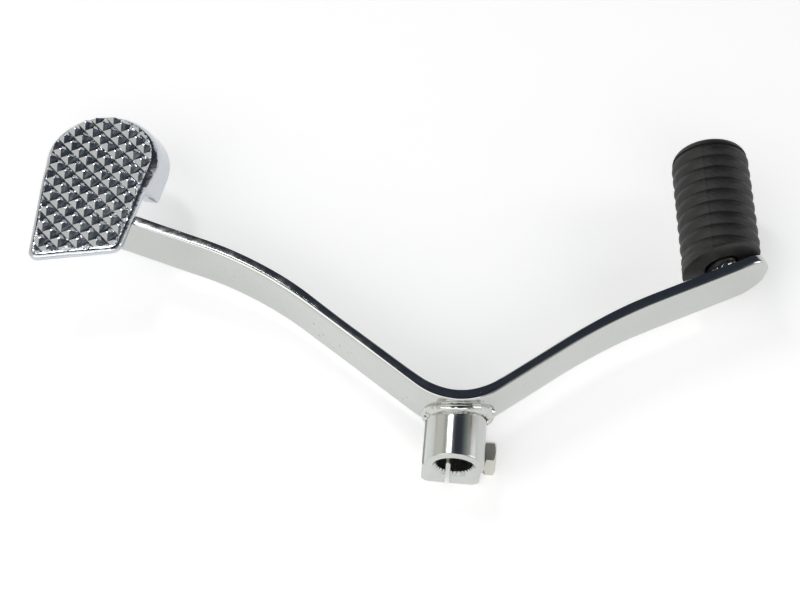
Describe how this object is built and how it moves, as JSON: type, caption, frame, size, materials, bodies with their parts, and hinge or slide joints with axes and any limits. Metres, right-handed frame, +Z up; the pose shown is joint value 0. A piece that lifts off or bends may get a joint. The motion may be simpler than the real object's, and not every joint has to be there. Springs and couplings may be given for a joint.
{
  "type": "motorcycle gear shift lever",
  "caption": "Heel-and-toe gear shift lever: bent flat bar with a serrated clamp boss, a ribbed rubber toe peg and a checkered heel pad.",
  "frame": {"origin": "on the bore axis of the clamp boss, in the plane of the pinch bolt", "axes": "+X forward along the lever to the toe peg, +Y outward from the engine along the bore axis, +Z up"},
  "size_m": [0.2484, 0.1235, 0.0372],
  "materials": {
    "bar_chrome": "bright chrome over rolled flat bar, faint ripple",
    "boss_chrome": "bright chrome over turned steel",
    "weld_chrome": "chrome over rough weld metal",
    "pad_chrome": "bright chrome over pressed steel",
    "bolt_steel": "bright zinc plate",
    "washer_steel": "dull zinc plate",
    "peg_rubber": "matte moulded black rubber"
  },
  "bodies": {
    "lever": {"lever_bar": "bar_chrome", "clamp_boss": "boss_chrome", "boss_weld_ring": "weld_chrome", "boss_weld_foot": "weld_chrome", "peg_stem": "bar_chrome", "peg_weld": "weld_chrome", "toe_rubber": "peg_rubber", "heel_pad": "pad_chrome", "pad_weld_inner": "weld_chrome", "pad_weld_outer": "weld_chrome"},
    "washer": {"spring_washer": "washer_steel"},
    "bolt": {"pinch_bolt": "bolt_steel"}
  },
  "joints": [
    {"name": "bolt_travel", "type": "slide", "parent": "lever", "child": "washer", "axis": [1, 0, 0], "range_m": [0, 0.005]},
    {"name": "bolt_turn", "type": "hinge", "parent": "washer", "child": "bolt", "pos_m": [0, 0, -0.00865], "axis": [1, 0, 0], "range_deg": [0, 1800]}
  ],
  "couplings": [
    {"joint": "bolt_turn", "follows": "bolt_travel", "rad_per_m": 6283}
  ]
}
